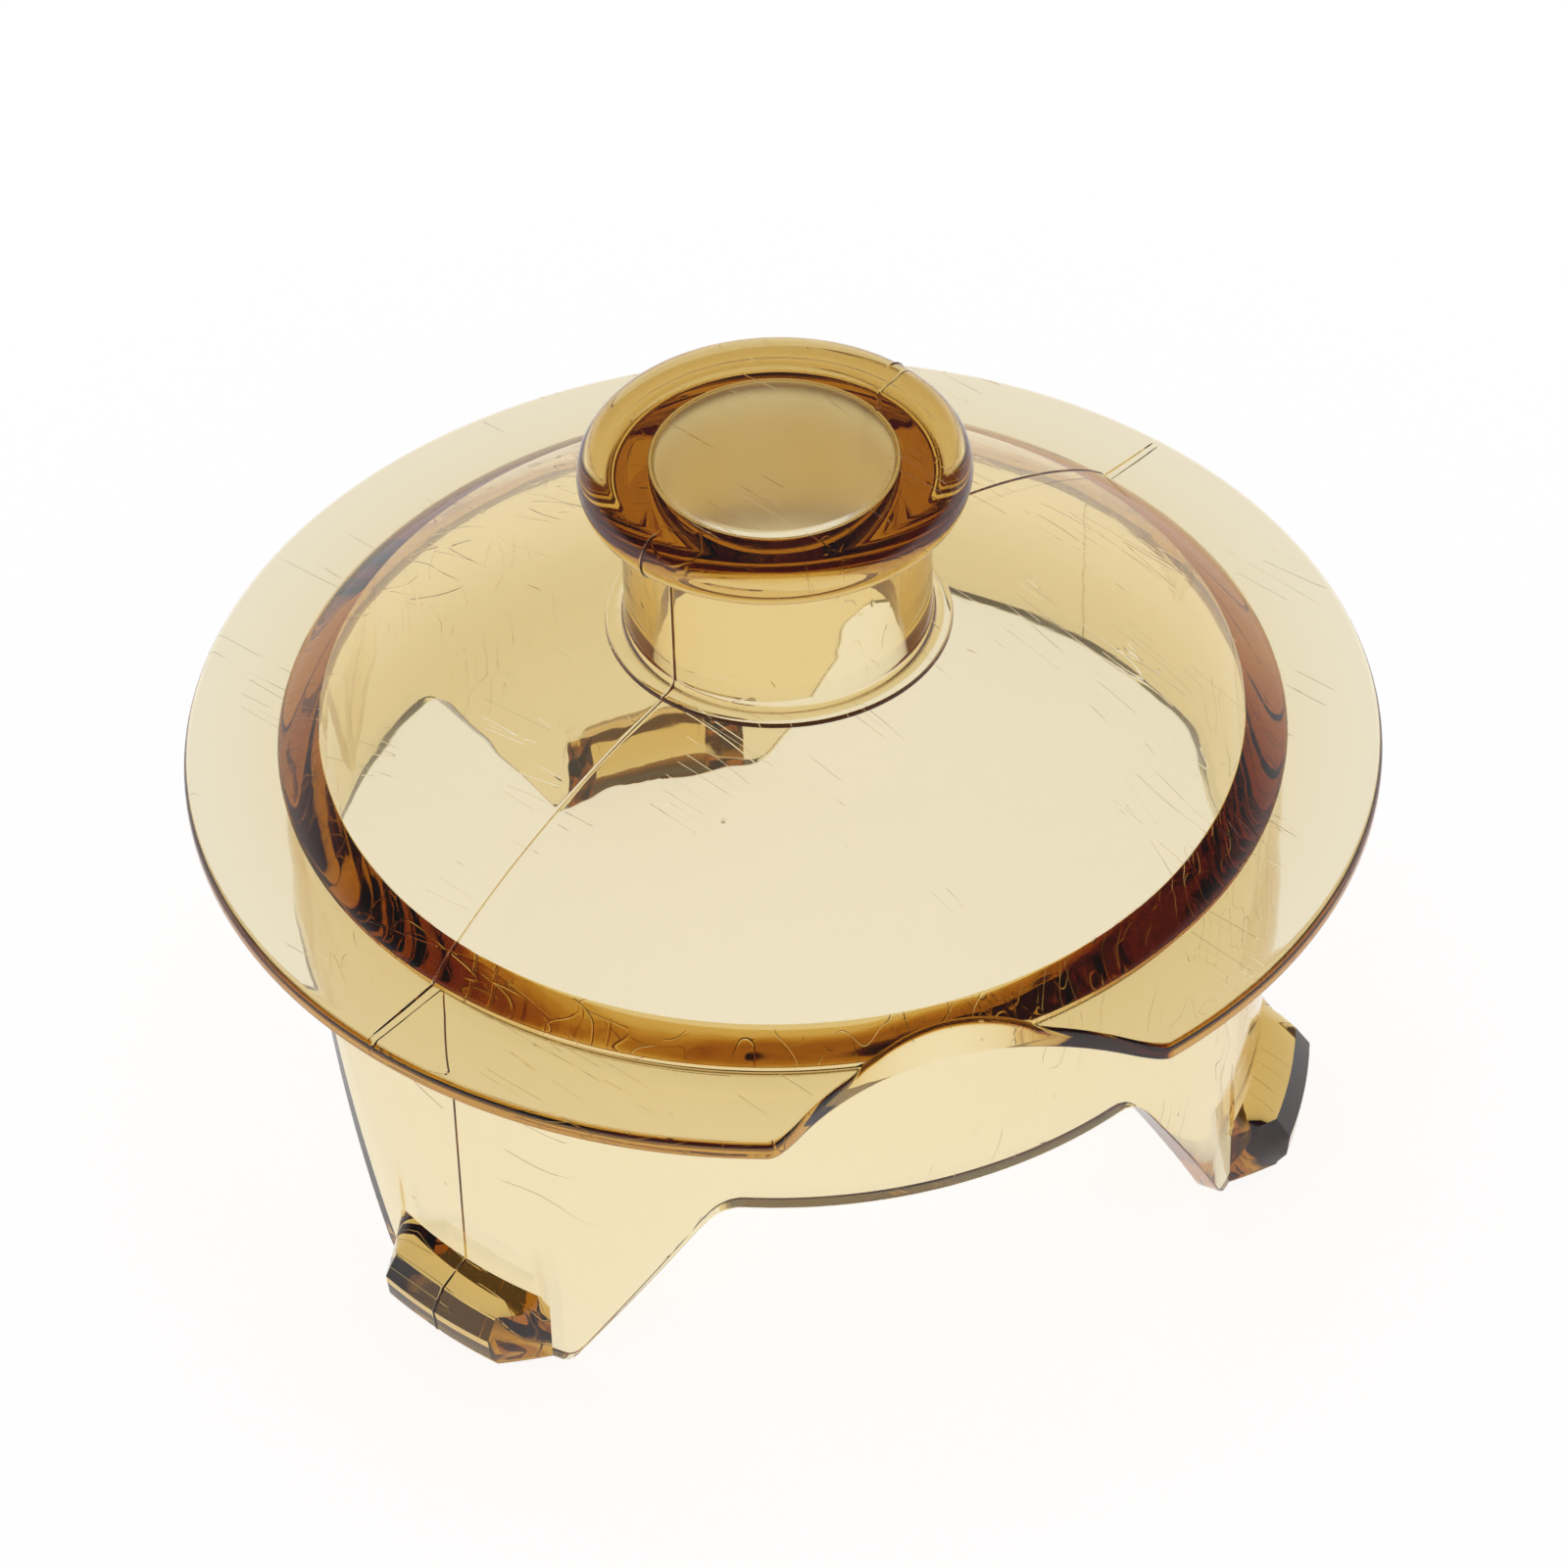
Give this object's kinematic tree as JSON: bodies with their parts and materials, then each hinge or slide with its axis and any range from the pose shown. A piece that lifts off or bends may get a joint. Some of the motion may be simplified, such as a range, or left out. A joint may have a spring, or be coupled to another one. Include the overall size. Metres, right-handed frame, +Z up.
{
  "type": "wax warmer pot lid",
  "caption": "Clear amber plastic lid for a wax warmer pot: hollow mushroom knob on a dome, rim flange with a pour notch, locating skirt and legs with retaining lugs.",
  "frame": {"origin": "on the lid's axis at the level of the feet (the flat lower ends of the three legs)", "axes": "+Z up along the lid's axis through the knob; X lies in the moulding's vertical parting plane, with one leg centred on -X; the notch in the rim faces 240 degrees from +X, counted anticlockwise seen from above"},
  "size_m": [0.1, 0.1, 0.0683],
  "materials": {
    "amber_plastic": "clear tinted, polished moulding"
  },
  "bodies": {
    "root": {"knob_cap": "amber_plastic", "knob_stem": "amber_plastic", "stem_collar": "amber_plastic", "lid_dome": "amber_plastic", "shoulder_ring": "amber_plastic", "rim_flange": "amber_plastic", "locating_skirt": "amber_plastic", "leg_1": "amber_plastic", "lug_1": "amber_plastic", "leg_2": "amber_plastic", "lug_2": "amber_plastic", "leg_3": "amber_plastic", "lug_3": "amber_plastic"}
  },
  "joints": []
}
